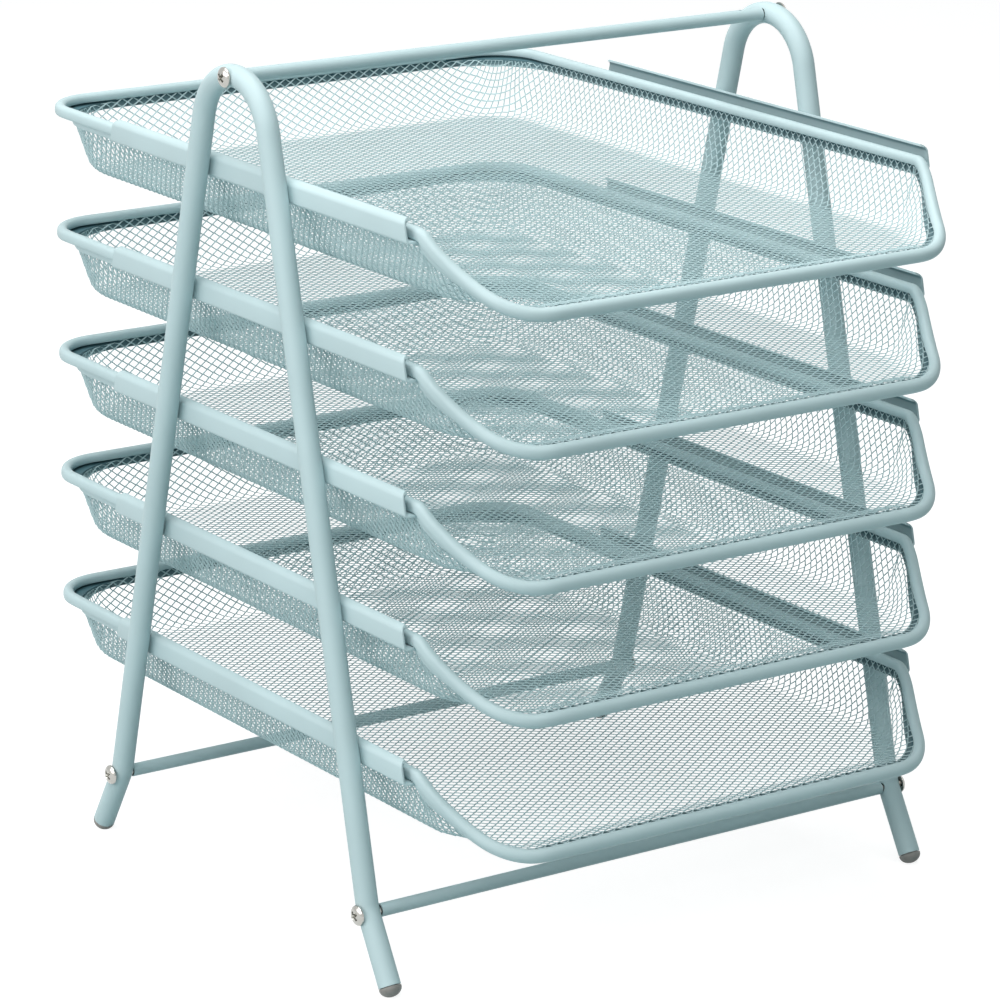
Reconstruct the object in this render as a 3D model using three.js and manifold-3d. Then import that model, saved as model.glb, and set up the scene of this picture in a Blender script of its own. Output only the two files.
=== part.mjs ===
// Five-tier sliding paper tray organizer, in millimetres, +Z up, front towards -Y.
// Two bent tube side frames carry folded rails, and five mesh trays slide on the rails.

import * as THREE from 'three';
import { mergeVertices } from 'three/addons/utils/BufferGeometryUtils.js';
import Module from 'manifold-3d';

const wasm = await Module();
wasm.setup();

const degrees = THREE.MathUtils.degToRad;

// Clearances
const seatGap = 0.3;            // between pieces that rest on or are fixed to each other
const slipGap = 0.1;            // between a sleeve and what sits in it

// Side frames: one tube each, an arch on two leaning legs with splayed feet
const tubeRadius = 5;
const tubeWall = 1;
const frameSpacing = 288;       // between the centre planes of the two frames
const archHeight = 378;         // tube centreline at the top of the arch
const archRadius = 26.8;
const legLean = degrees(13.5);
const kneeHeight = 34;          // where a leg turns out into its foot
const kneeRadius = 20;
const footLean = degrees(30.4);

// Foot plugs: a stem in the tube's bore and a domed sole
const soleHeight = 4.4;
const soleWear = 0.4;           // depth of the flat under the dome
const stemLength = 10;
const stemTaper = 0.5;

// Cross bars, their threaded inserts and the screws that hold them
const barRadius = 3;
const insertRadius = 2.45;
const insertLength = 12;
const insertProud = 0.9;        // how far an insert stands out of its bar
const lowerBarHeight = 32.5;
const ventRadius = 0.9;
const ventInset = 12;           // from the bar's right end
const screwRadius = 2;
const screwLength = 20.5;
const screwPoint = 0.6;
const screwHeadRadius = 4.5;
const screwHeadHeight = 2.4;
const screwHeadEdge = 0.4;      // height of the head's upright edge
const crossSlotLength = 4.6;
const crossSlotWidth = 1.1;
const crossSlotDepth = 1.4;
const screwHoleRadius = 2.5;

// Rails: folded channels, welded to the inner side of the legs
const railSheet = 1;
const railHeight = 10.6;
const railBend = 1.5;           // outer radius between web and flange
const railLip = 3.2;            // radius of the rolled top edge
const railFront = -122;         // from the middle of the legs
const railBack = 115.5;
const archClearance = 49.8;     // from the arch's centreline down to the underside of the top rails
const trayClearance = 33.7;     // from the lower bars up to the lowest tray
const lowestExtra = 2;          // the lowest rails are this much further down than the others
const tierCount = 5;

// Tray rim: a bead that rides on the rails, with a hem that clinches the mesh
const rimWidth = 4.8;
const rimHeight = 5.1;
const rimCrown = 1.6;           // rounding of the bead's top edges
const rimEdge = 0.9;            // rounding of its lower outer edge
const rimPlay = 3.3;            // from the bead to the rail's web, on each side
const lipHeight = 6.2;          // height of the bead where it has turned to the front
const hemLength = 4.3;
const hemSheet = 0.8;
const hemPlay = 0.6;            // from the hem to the flange of the rail beside it
const trayBack = 193;           // outer face of the rear rim, from the middle of the legs
const lipFront = -170.9;        // outer face of the front lip
const backCorner = 26;          // outer radius of the rear corners
const panCorner = 38;           // the mesh turns the same corners less tightly
const mouthSetOff = 5.3;        // from the rail ends to where the sides turn in
const mouthTurn = degrees(27);
const mouthRadius = 27;
const lipCorner = 29;           // centreline radius of the front corners
const lipDrop = 28.65;          // from the side rims down to the front lip
const dropEase = 2.2;           // half length of the bend where the drop begins
const dropRun = 56;             // plan length over which the rim comes down
const dropCurve = 1.8;          // 1 would be a straight slope, more is steeper at the top

// Mesh pan: a thin sheet with leaning walls and a rounded edge to its floor
const panSheet = 0.8;
const panDepth = 25;            // from the rail's underside down to the pan's underside
const wallLean = degrees(20);
const lipSlope = degrees(12);   // of the floor where it comes up to the front lip
const floorRound = 10;
const roundShare = 0.9;         // the most of a wall that the rounding takes

// Plain openings that stand for the fine openings of the mesh
const openingsAcross = 6;
const openingsAlong = 7;
const openShare = 0.78;         // width of an opening, as a share of the room it has
const leastShare = 0.5;         // openings that the floor's edge would cut smaller are left out
const wallEdge = 1.5;           // sheet left between a wall's openings and the hem above them

// Materials, with the colours that the photograph shows
function finish(color, roughness, metalness) {
  return new THREE.MeshStandardMaterial({ color, roughness, metalness });
}

const paint = () => finish('#bcd6d9', 0.45, 0);
const meshPaint = () => finish('#a9c9cd', 0.5, 0);
const chrome = () => finish('#c9cdcc', 0.25, 1);
const zinc = () => finish('#5b6163', 0.4, 1);
const plastic = () => finish('#85827c', 0.6, 0);

// Roundness of the curved pieces
const ringSegments = 7;         // a full circle drawn by absarc has twice as many sides
const ringSides = 2 * ringSegments;
const holeSides = 10;
const plugSides = 16;
const domeSteps = 4;

// Heights and places that follow from the sizes above
const frameX = frameSpacing / 2;
const topRailHeight = archHeight - archClearance;
const bottomRailHeight = lowerBarHeight + barRadius + trayClearance + panDepth;
const tierPitch = (topRailHeight - bottomRailHeight - lowestExtra) / (tierCount - 1);
const innerFaceX = frameX - tubeRadius;
const outerFaceX = frameX + tubeRadius;
const webX = innerFaceX - seatGap;
const rimX = webX - railSheet - rimPlay - rimWidth / 2;
const rimBackY = trayBack - rimWidth / 2;
const lipY = lipFront + rimHeight / 2;
const rimRideHeight = railSheet + seatGap + rimHeight / 2;
const panInset = (rimWidth - panSheet) / 2;
const railFlange = railSheet + rimPlay + rimWidth - panSheet - seatGap - hemSheet - hemPlay;
const centreY = (trayBack + lipFront) / 2;
const soleDrop = Math.hypot(soleHeight * Math.cos(footLean), tubeRadius * Math.sin(footLean));
const floorHeight = panSheet / 2 - panDepth;
const tubeEndHeight = soleDrop - soleWear + seatGap * Math.cos(footLean);

const point = (x, y, z) => new THREE.Vector3(x, y, z);
const mix = THREE.MathUtils.lerp;

// A curve through given points, whose extrusion has one ring at each point
class StationCurve extends THREE.Curve {
  constructor(points) {
    super();
    this.points = points;
  }

  getPoint(t, target = new THREE.Vector3()) {
    const place = t * (this.points.length - 1);
    const index = Math.min(Math.floor(place + 1e-9), this.points.length - 2);
    return target.copy(this.points[index]).lerp(this.points[index + 1], place - index);
  }

  getPointAt(u, target) {
    return this.getPoint(u, target);
  }

  getTangentAt(u, target = new THREE.Vector3()) {
    const index = Math.round(u * (this.points.length - 1));
    const before = this.points[Math.max(index - 1, 0)];
    const after = this.points[Math.min(index + 1, this.points.length - 1)];
    const here = this.points[index];
    const arriving = here.clone().sub(before).normalize();
    const leaving = after.clone().sub(here).normalize();
    return target.copy(arriving).add(leaving).normalize();
  }
}

// Points along an arc in the YZ plane, both ends included
function arcPoints(centreY, centreZ, radius, from, to, steps) {
  return Array.from({ length: steps + 1 }, (_, i) => {
    const angle = mix(from, to, i / steps);
    return point(0, centreY + radius * Math.cos(angle), centreZ + radius * Math.sin(angle));
  });
}

function bare(geometry) {
  const copy = geometry.clone();
  copy.deleteAttribute('normal');
  copy.deleteAttribute('uv');
  return mergeVertices(copy, 1e-4);
}

function solidOf(geometry) {
  const merged = bare(geometry);
  const vertProperties = Float32Array.from(merged.attributes.position.array);
  const triVerts = Uint32Array.from(merged.index.array);
  return new wasm.Manifold(new wasm.Mesh({ numProp: 3, vertProperties, triVerts }));
}

function geometryOf(solid) {
  const { vertProperties, triVerts } = solid.getMesh();
  const result = new THREE.BufferGeometry();
  result.setAttribute('position', new THREE.BufferAttribute(vertProperties, 3));
  result.setIndex(new THREE.BufferAttribute(triVerts, 1));
  result.computeVertexNormals();
  return result;
}

function cut(geometry, ...cutters) {
  const rest = cutters.reduce((left, cutter) => left.subtract(solidOf(cutter)), solidOf(geometry));
  return geometryOf(rest);
}

// A cylinder along X between two places on it
function rodAlongX(radius, fromX, toX, y, z, sides) {
  const rod = new THREE.CylinderGeometry(radius, radius, toX - fromX, sides);
  return rod.rotateZ(Math.PI / 2).translate((fromX + toX) / 2, y, z);
}

// Centreline of a side frame, from the front foot over the arch to the rear foot
function frameStations() {
  const archCentre = archHeight - archRadius;
  const shoulder = point(0, archRadius * Math.cos(legLean), archCentre + archRadius * Math.sin(legLean));
  const kneeY = shoulder.y + (shoulder.z - kneeHeight) * Math.tan(legLean);
  const bend = footLean - legLean;
  const kneeTangent = kneeRadius * Math.tan(bend / 2);
  const centre = {
    y: kneeY - kneeTangent * Math.sin(legLean) + kneeRadius * Math.cos(legLean),
    z: kneeHeight + kneeTangent * Math.cos(legLean) + kneeRadius * Math.sin(legLean),
  };
  const knee = arcPoints(centre.y, centre.z, kneeRadius, Math.PI + legLean, Math.PI + footLean, 3);
  const footRun = kneeHeight - tubeEndHeight;
  const end = point(0, kneeY + footRun * Math.tan(footLean), tubeEndHeight);
  const arch = arcPoints(0, archCentre, archRadius, Math.PI - legLean, legLean, 14);
  const rearLeg = [...knee, end];
  const frontLeg = rearLeg.map(({ x, y, z }) => point(x, -y, z)).reverse();
  return [...frontLeg, ...arch, ...rearLeg];
}

const stations = frameStations();
const footEnd = stations[stations.length - 1];

// Distance of a leg's centreline from the middle, at a height below the arch
function legReach(height) {
  const rear = stations.slice(stations.length / 2);
  const below = rear.findIndex((station) => station.z <= height);
  const low = rear[below];
  const high = rear[below - 1];
  return mix(low.y, high.y, (height - low.z) / (high.z - low.z));
}

// Where the cross bars meet the frames
const barPlaces = [
  { name: 'top', y: 0, z: archHeight },
  { name: 'front', y: -legReach(lowerBarHeight), z: lowerBarHeight },
  { name: 'rear', y: legReach(lowerBarHeight), z: lowerBarHeight },
];

function sideFrame() {
  const ring = new THREE.Shape().absarc(0, 0, tubeRadius, 0, 2 * Math.PI);
  ring.holes.push(new THREE.Path().absarc(0, 0, tubeRadius - tubeWall, 0, 2 * Math.PI, true));
  const extrudePath = new StationCurve(stations);
  const steps = stations.length - 1;
  const tube = new THREE.ExtrudeGeometry(ring, { steps, extrudePath, curveSegments: ringSegments });
  const reach = tubeRadius + 1;
  const holes = barPlaces.map(({ y, z }) => rodAlongX(screwHoleRadius, -reach, reach, y, z, holeSides));
  return cut(tube, ...holes);
}

// Outline of a dome for turning, from its edge up to the axis
function domeOutline(radius, edgeHeight, height) {
  const steps = Array.from({ length: domeSteps }, (_, i) => (i / domeSteps) * (Math.PI / 2));
  const flank = steps.map((angle) => {
    return new THREE.Vector2(radius * Math.cos(angle), edgeHeight + height * Math.sin(angle));
  });
  return [...flank, new THREE.Vector2(0, edgeHeight + height)];
}

function footPlug() {
  const boreRadius = tubeRadius - tubeWall - seatGap;
  const profile = [
    new THREE.Vector2(0, -stemLength),
    new THREE.Vector2(boreRadius - stemTaper, -stemLength),
    new THREE.Vector2(boreRadius, -stemLength / 2),
    new THREE.Vector2(boreRadius, seatGap),
    ...domeOutline(tubeRadius, seatGap, soleHeight),
  ];
  return new THREE.LatheGeometry(profile, plugSides);
}

// Cuts a piece off flat at the floor, where the piece stands at the given matrix
function cutAtFloor(geometry, matrix) {
  const size = 8 * tubeRadius;
  const floor = new THREE.BoxGeometry(size, size, size).translate(0, footEnd.y, -size / 2);
  return cut(geometry, floor.applyMatrix4(matrix.clone().invert()));
}

function crossBar(half, vented) {
  const ring = new THREE.Shape().absarc(0, 0, barRadius, 0, 2 * Math.PI);
  const bore = (insertRadius + slipGap) / Math.cos(Math.PI / ringSides);
  ring.holes.push(new THREE.Path().absarc(0, 0, bore, 0, 2 * Math.PI, true));
  const depth = 2 * half;
  const bar = new THREE.ExtrudeGeometry(ring, { depth, bevelEnabled: false, curveSegments: ringSegments });
  bar.translate(0, 0, -half).rotateY(Math.PI / 2);
  if (!vented) return bar;
  const drill = new THREE.CylinderGeometry(ventRadius, ventRadius, barRadius, holeSides).rotateX(Math.PI / 2);
  return cut(bar, drill.translate(half - ventInset, 0, barRadius));
}

function threadedInsert() {
  const ring = new THREE.Shape().absarc(0, 0, insertRadius, 0, 2 * Math.PI);
  const bore = (screwRadius + slipGap) / Math.cos(Math.PI / ringSides);
  ring.holes.push(new THREE.Path().absarc(0, 0, bore, 0, 2 * Math.PI, true));
  const depth = insertLength;
  const sleeve = new THREE.ExtrudeGeometry(ring, { depth, bevelEnabled: false, curveSegments: ringSegments });
  return sleeve.rotateY(Math.PI / 2);
}

// A screw that points along -X from under its head, which stands towards +X
function screw() {
  const profile = [
    new THREE.Vector2(0, -screwLength),
    new THREE.Vector2(screwRadius - screwPoint, -screwLength),
    new THREE.Vector2(screwRadius, screwPoint - screwLength),
    new THREE.Vector2(screwRadius, 0),
    new THREE.Vector2(screwHeadRadius, 0),
    ...domeOutline(screwHeadRadius, screwHeadEdge, screwHeadHeight - screwHeadEdge),
  ];
  const body = new THREE.LatheGeometry(profile, ringSides);
  const slots = [0, 1].map((turn) => {
    const slot = new THREE.BoxGeometry(crossSlotLength, 2 * crossSlotDepth, crossSlotWidth);
    return slot.rotateY((turn * Math.PI) / 2 + Math.PI / 4).translate(0, screwHeadHeight, 0);
  });
  return cut(body, ...slots).rotateZ(-Math.PI / 2);
}

// Section of a rail in its XZ plane: web at x = 0, flange and rolled lip towards -X
function rail() {
  const outline = new THREE.Shape();
  const innerBend = railBend - railSheet;
  const rollHeight = railHeight - railLip;
  outline.moveTo(-railFlange, 0);
  outline.lineTo(-railBend, 0);
  outline.absarc(-railBend, railBend, railBend, -Math.PI / 2, 0);
  outline.absarc(-railLip, rollHeight, railLip, 0, Math.PI / 2);
  outline.absarc(-railLip, rollHeight, railLip - railSheet, Math.PI / 2, 0, true);
  outline.absarc(-railBend, railBend, innerBend, 0, -Math.PI / 2, true);
  outline.lineTo(-railFlange, railSheet);
  outline.closePath();
  const depth = railBack - railFront;
  const channel = new THREE.ExtrudeGeometry(outline, { depth, bevelEnabled: false, curveSegments: 2 });
  return channel.rotateX(Math.PI / 2).translate(0, railBack, 0);
}

// Plan of the right half of a rim, from the rear to the front
// Each station has its place in plan, its heading, and how far it is past the mouth's start
function rimPlan() {
  const corner = backCorner - rimWidth / 2;
  const mouthY = railFront - mouthSetOff;
  const arc = (centre, radius, from, to, steps) => Array.from({ length: steps + 1 }, (_, i) => {
    const angle = mix(from, to, i / steps);
    const x = centre.x + radius * Math.cos(angle);
    const y = centre.y + radius * Math.sin(angle);
    return { x, y, angle, run: radius * (from - angle) };
  });
  const back = arc({ x: rimX - corner, y: rimBackY - corner }, corner, Math.PI / 2, 0, 5);
  const mouthTangent = mouthRadius * Math.tan(mouthTurn / 2);
  const mouth = arc({ x: rimX - mouthRadius, y: mouthY + mouthTangent }, mouthRadius, 0, -mouthTurn, 4);
  const lipTurn = Math.PI / 2 - mouthTurn;
  const lipTangent = lipCorner * Math.tan(lipTurn / 2);
  const lipX = rimX - (mouthY - lipY) * Math.tan(mouthTurn);
  const lip = arc({ x: lipX - lipTangent, y: lipY + lipCorner }, lipCorner, -mouthTurn, -Math.PI / 2, 6);
  const mouthEnd = mouth[mouth.length - 1];
  const slopeLength = Math.hypot(lip[0].x - mouthEnd.x, lip[0].y - mouthEnd.y);
  const slope = [1 / 3, 2 / 3].map((share) => ({
    x: mix(mouthEnd.x, lip[0].x, share),
    y: mix(mouthEnd.y, lip[0].y, share),
    angle: -mouthTurn,
    run: mouthEnd.run + share * slopeLength,
  }));
  const easing = panCorner - corner;
  const approach = [1, 0.5].map((share) => ({ ...back[0], x: back[0].x - share * easing }));
  const departure = [0.5, 1].map((share) => ({ ...back[5], y: back[5].y - share * easing }));
  const rear = [...approach, ...back, ...departure];
  rear.forEach((station) => { station.run = -1; });
  lip.forEach((station) => { station.run += mouthEnd.run + slopeLength; });
  return [...rear, ...mouth, ...slope, ...lip];
}

// How far the mesh runs inside the rim where it turns a rear corner less tightly
function cornerInset(edge, out) {
  const centre = point(rimX - panInset - panCorner, rimBackY - panInset - panCorner, 0);
  const reach = point(Math.abs(edge.x) - centre.x, edge.y - centre.y, 0);
  if (reach.x <= 0 || reach.y <= 0) return 0;
  const ahead = reach.x * Math.abs(out.x) + reach.y * out.y;
  return ahead - Math.sqrt(ahead ** 2 - reach.lengthSq() + panCorner ** 2);
}

// Stations of a whole rim: place, outward direction in plan, along, and the section's two axes
function rimStations() {
  const half = rimPlan();
  const runEnd = half[half.length - 1].run;
  const dropStart = mouthRunAtRailEnd() + dropEase;
  const right = half.map(({ x, y, angle, run }) => {
    const past = run - dropStart;
    const eased = past > dropEase ? past : Math.max(0, past + dropEase) ** 2 / (4 * dropEase);
    const left = 1 - Math.min(eased / dropRun, 1);
    const turned = THREE.MathUtils.smoothstep(run, 0, runEnd);
    return {
      place: point(x, y, rimRideHeight - lipDrop * (1 - left ** dropCurve)),
      out: point(Math.cos(angle), Math.sin(angle), 0),
      turned,
    };
  });
  const mirrored = right.map(({ place, out, turned }) => ({
    place: point(-place.x, place.y, place.z),
    out: point(-out.x, out.y, 0),
    turned,
  }));
  const loop = [...right, ...mirrored.reverse()];
  return loop.map((station, i) => {
    const before = loop[(i + loop.length - 1) % loop.length].place;
    const after = loop[(i + 1) % loop.length].place;
    const arriving = station.place.clone().sub(before).normalize();
    const leaving = after.clone().sub(station.place).normalize();
    const along = arriving.add(leaving).normalize();
    const up = point(0, 0, 0).crossVectors(station.out, along).negate().normalize();
    const tilt = station.turned * (Math.PI / 2);
    const across = station.out.clone().multiplyScalar(Math.cos(tilt)).addScaledVector(up, -Math.sin(tilt));
    const rise = up.multiplyScalar(Math.cos(tilt)).addScaledVector(station.out, Math.sin(tilt));
    const width = mix(rimWidth, lipHeight, station.turned);
    const edge = station.place.clone().addScaledVector(across, (panSheet - width) / 2);
    edge.addScaledVector(rise, -rimHeight / 2 - seatGap);
    const lean = Math.atan2(cornerInset(edge, station.out), hemLength + seatGap);
    return { ...station, across, rise, width, edge, lean };
  });
}

// Plan length from the mouth's start to the rail ends, under the straight part of the side
function mouthRunAtRailEnd() {
  const mouthTangent = mouthRadius * Math.tan(mouthTurn / 2);
  return mouthTangent - mouthSetOff;
}

const rimLoop = rimStations();

// Joins rings of points, each a closed loop, into a ring-shaped solid
function ringSolid(rings) {
  const count = rings[0].length;
  const positions = rings.flat().flatMap(({ x, y, z }) => [x, y, z]);
  const index = [];
  rings.forEach((_, i) => {
    const next = (i + 1) % rings.length;
    for (let k = 0; k < count; k++) {
      const a = i * count + k;
      const b = i * count + ((k + 1) % count);
      const c = next * count + k;
      const d = next * count + ((k + 1) % count);
      index.push(a, b, c, b, d, c);
    }
  });
  const geometry = new THREE.BufferGeometry();
  geometry.setAttribute('position', new THREE.Float32BufferAttribute(positions, 3));
  geometry.setIndex(index);
  geometry.computeVertexNormals();
  return geometry;
}

// The bead with its hem, as places across and up from the bead's centre
// The hem lies along the outer face of the mesh, which leans inwards in the rear corners
function rimSection({ width, lean }) {
  const side = width / 2;
  const top = rimHeight / 2;
  const middle = panSheet / 2 - side;
  const hemFace = (depth) => {
    const root = middle + depth * Math.cos(lean) + (seatGap + depth * Math.sin(lean)) * Math.tan(lean);
    const end = middle + depth * Math.cos(lean) - hemLength * Math.sin(lean);
    const low = -top - seatGap - depth * Math.sin(lean) - hemLength * Math.cos(lean);
    return { root: [root, -top], tip: [end, low] };
  };
  const inner = hemFace(panSheet / 2 + seatGap);
  const outer = hemFace(panSheet / 2 + seatGap + hemSheet);
  return [
    inner.tip,
    outer.tip,
    outer.root,
    [side - rimEdge, -top],
    [side, rimEdge - top],
    [side, top - rimCrown],
    [side - rimCrown, top],
    [rimCrown - side, top],
    [-side, top - rimCrown],
    [-side, -top],
    inner.root,
  ];
}

function trayRim() {
  const rings = rimLoop.map((station) => rimSection(station).map(([a, b]) => {
    return station.place.clone().addScaledVector(station.across, a).addScaledVector(station.rise, b);
  }));
  return ringSolid(rings);
}

// Middle of the pan's sheet under one station of the rim, from its top edge to the floor
function panProfile({ edge, out, across, rise, turned, lean }) {
  const downHem = (drop) => {
    return edge.clone().addScaledVector(rise, -drop).addScaledVector(across, -drop * Math.tan(lean));
  };
  const top = downHem((panSheet / 2) * Math.sin(lean));
  const leave = downHem(hemLength + seatGap);
  const slant = mix(wallLean, Math.PI / 2 - lipSlope, turned);
  const height = leave.z - floorHeight;
  const foot = leave.clone().addScaledVector(out, -height * Math.tan(slant)).setZ(floorHeight);
  const wall = leave.clone().sub(foot);
  const tangent = Math.min(floorRound * Math.tan((Math.PI / 2 - slant) / 2), roundShare * wall.length());
  const start = foot.clone().addScaledVector(wall.normalize(), tangent);
  const end = foot.clone().addScaledVector(out, -tangent);
  const round = new THREE.QuadraticBezierCurve3(start, foot, end).getPoints(2);
  return [top, leave, ...round];
}

// A thin closed shell round a middle surface made of profiles, with a flat floor
function shell(profiles, thickness) {
  const count = profiles[0].length;
  const index = [];
  profiles.forEach((_, i) => {
    const next = (i + 1) % profiles.length;
    for (let k = 0; k < count - 1; k++) {
      const a = i * count + k;
      const c = next * count + k;
      index.push(a, a + 1, c, a + 1, c + 1, c);
    }
  });
  const rim = profiles.map((profile) => profile[count - 1]);
  const outline = rim.map(({ x, y }) => new THREE.Vector2(x, y));
  THREE.ShapeUtils.triangulateShape(outline, []).forEach((corners) => {
    index.push(...corners.map((i) => i * count + count - 1));
  });
  const middle = new THREE.BufferGeometry();
  const positions = profiles.flat().flatMap(({ x, y, z }) => [x, y, z]);
  middle.setAttribute('position', new THREE.Float32BufferAttribute(positions, 3));
  middle.setIndex(index);
  middle.computeVertexNormals();
  const normals = middle.attributes.normal.array;
  // The floor's own edge is offset upright, which keeps both faces of the floor flat
  for (let i = count - 1; i < profiles.length * count; i += count) {
    normals.set([0, 0, Math.sign(normals[3 * i + 2])], 3 * i);
  }
  const offset = (side) => positions.map((value, i) => value + (side * thickness * normals[i]) / 2);
  const total = profiles.length * count;
  const inner = [];
  for (let i = 0; i < index.length; i += 3) {
    inner.push(total + index[i], total + index[i + 2], total + index[i + 1]);
  }
  const edge = profiles.flatMap((_, i) => {
    const a = i * count;
    const b = ((i + 1) % profiles.length) * count;
    return [a, b, total + b, a, total + b, total + a];
  });
  const geometry = new THREE.BufferGeometry();
  geometry.setAttribute('position', new THREE.Float32BufferAttribute([...offset(1), ...offset(-1)], 3));
  geometry.setIndex([...index, ...inner, ...edge]);
  geometry.computeVertexNormals();
  return geometry;
}

// Evenly spaced places from low to high, with the room that each has
function rowOf(count, low, high) {
  const room = (high - low) / count;
  return Array.from({ length: count }, (_, i) => ({ place: low + (i + 0.5) * room, size: openShare * room }));
}

// Solids that open the floor as a grid and each upright wall as a row
function meshOpenings(profiles) {
  const floor = profiles.map((profile) => profile[profile.length - 1]);
  const [width, back, front] = [
    Math.max(...floor.map(({ x }) => x)),
    Math.max(...floor.map(({ y }) => y)),
    Math.min(...floor.map(({ y }) => y)),
  ];
  const columns = rowOf(openingsAcross, -width, width);
  const rows = rowOf(openingsAlong, front, back);
  const bar = (1 - openShare) * (rows[1].place - rows[0].place);
  const corners = floor.map(({ x, y }) => [x, y]);
  const outline = new wasm.CrossSection([corners], 'NonZero').offset(-bar / 2, 'Miter');
  const squares = columns.flatMap((column) => rows.map((row) => {
    const square = wasm.CrossSection.square([column.size, row.size], true);
    return square.translate([column.place, row.place]).intersect(outline);
  }));
  const whole = columns[0].size * rows[0].size;
  const openings = squares.filter((square) => square.area() > leastShare * whole).map((square) => {
    return square.extrude(2 * panSheet).translate([0, 0, floorHeight - panSheet]);
  });
  const [, leave, roundStart] = profiles[0];
  const height = leave.z - wallEdge - roundStart.z;
  const middle = leave.z - wallEdge - height / 2;
  const straight = ({ place, size }, end, start) => place + size / 2 < end && place - size / 2 > start;
  rows.filter((row) => straight(row, rimBackY - panInset - panCorner, railFront)).forEach((row) => {
    const through = wasm.Manifold.cube([2 * rimX, row.size, height], true);
    openings.push(through.translate([0, row.place, middle]));
  });
  const side = rimX - panInset - panCorner;
  columns.filter((column) => straight(column, side, -side)).forEach((column) => {
    const through = wasm.Manifold.cube([column.size, rimBackY - back, height], true);
    openings.push(through.translate([column.place, (rimBackY + back) / 2, middle]));
  });
  return openings;
}

function trayMesh() {
  const profiles = rimLoop.map(panProfile);
  const sheet = solidOf(shell(profiles, panSheet));
  return geometryOf(meshOpenings(profiles).reduce((left, opening) => left.subtract(opening), sheet));
}

// Assembly, with the middle of the whole box over the origin
const organizer = new THREE.Group();
organizer.position.y = -centreY;

function add(parent, name, geometry, material) {
  const mesh = new THREE.Mesh(geometry, material);
  mesh.name = name;
  parent.add(mesh);
  return mesh;
}

const sides = [
  { name: 'left', sign: -1 },
  { name: 'right', sign: 1 },
];

const frameGeometry = sideFrame();
sides.forEach(({ name, sign }) => {
  add(organizer, `side_frame_${name}`, frameGeometry, paint()).position.x = sign * frameX;
});

// Feet: each plug follows its tube's end
const plugEnds = [
  { name: 'rear', turn: 0 },
  { name: 'front', turn: Math.PI },
];
sides.forEach(({ name, sign }) => {
  plugEnds.forEach(({ name: end, turn }) => {
    const plug = add(organizer, `foot_plug_${end}_${name}`, footPlug(), plastic());
    const lean = new THREE.Matrix4().makeRotationX(footLean - Math.PI / 2);
    const place = new THREE.Matrix4().makeTranslation(0, footEnd.y, footEnd.z).multiply(lean);
    plug.geometry = cutAtFloor(plug.geometry, place);
    const around = new THREE.Matrix4().makeRotationZ(turn);
    around.premultiply(new THREE.Matrix4().makeTranslation(sign * frameX, 0, 0));
    plug.applyMatrix4(around.multiply(place));
  });
});

// Cross bars with an insert and a screw at each end
const barHalf = innerFaceX - seatGap - insertProud;
barPlaces.forEach(({ name, y, z }) => {
  const barName = name === 'top' ? 'top_bar' : `${name}_lower_bar`;
  add(organizer, barName, crossBar(barHalf, name === 'top'), paint()).position.set(0, y, z);
  sides.forEach(({ name: side, sign }) => {
    const turn = sign > 0 ? 0 : Math.PI;
    const insert = add(organizer, `insert_${name}_${side}`, threadedInsert(), zinc());
    insert.position.set(sign * (innerFaceX - seatGap - insertLength), y, z);
    insert.rotation.z = turn;
    const fastener = add(organizer, `screw_${name}_${side}`, screw(), chrome());
    fastener.position.set(sign * (outerFaceX + seatGap), y, z);
    fastener.rotation.z = turn;
  });
});

// Tiers, counted from the top: two rails, a rim and its mesh
const railGeometry = rail();
const mirroredRail = railGeometry.clone().rotateZ(Math.PI).translate(0, railFront + railBack, 0);
const rimGeometry = trayRim();
const panGeometry = trayMesh();
for (let tier = 1; tier <= tierCount; tier++) {
  const level = new THREE.Group();
  const dropped = (tier - 1) * tierPitch + (tier === tierCount ? lowestExtra : 0);
  level.position.z = topRailHeight - dropped;
  organizer.add(level);
  add(level, `rail_left_${tier}`, mirroredRail, paint()).position.x = -webX;
  add(level, `rail_right_${tier}`, railGeometry, paint()).position.x = webX;
  add(level, `tray_rim_${tier}`, rimGeometry, paint());
  add(level, `tray_mesh_${tier}`, panGeometry, meshPaint());
}

export default organizer;
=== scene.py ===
"""Five-tier paper tray organizer: its visible pieces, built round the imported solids.

Lengths are in metres, +Z is up and the trays open towards -Y.
"""

from functools import partial
from math import acos, ceil, cos, hypot, pi, radians, sin, sqrt, tan
from types import SimpleNamespace

import bmesh
import bpy
import numpy as np
from bpy.props import FloatProperty, FloatVectorProperty, PointerProperty
from bpy.types import Operator, Panel, PropertyGroup
from mathutils import Matrix, Vector


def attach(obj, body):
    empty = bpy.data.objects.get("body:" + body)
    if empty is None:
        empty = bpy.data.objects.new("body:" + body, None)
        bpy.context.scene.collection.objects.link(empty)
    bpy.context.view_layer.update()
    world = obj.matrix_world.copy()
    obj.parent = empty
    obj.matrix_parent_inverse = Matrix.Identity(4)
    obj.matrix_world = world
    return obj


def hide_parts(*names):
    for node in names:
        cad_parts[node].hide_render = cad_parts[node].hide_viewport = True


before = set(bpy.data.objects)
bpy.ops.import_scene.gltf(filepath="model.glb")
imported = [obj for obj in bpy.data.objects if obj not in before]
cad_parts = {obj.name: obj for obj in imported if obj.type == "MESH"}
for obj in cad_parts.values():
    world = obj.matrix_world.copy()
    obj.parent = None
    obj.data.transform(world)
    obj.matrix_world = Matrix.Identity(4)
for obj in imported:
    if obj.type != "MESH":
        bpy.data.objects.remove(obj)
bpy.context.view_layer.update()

bl_info = {
    "name": "Paper Tray Organizer",
    "version": (1, 0, 0),
    "blender": (4, 5, 0),
    "location": "3D View > Sidebar > Organizer",
    "description": "Builds a five-tier organizer of sliding mesh paper trays",
    "category": "Object",
}

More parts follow.
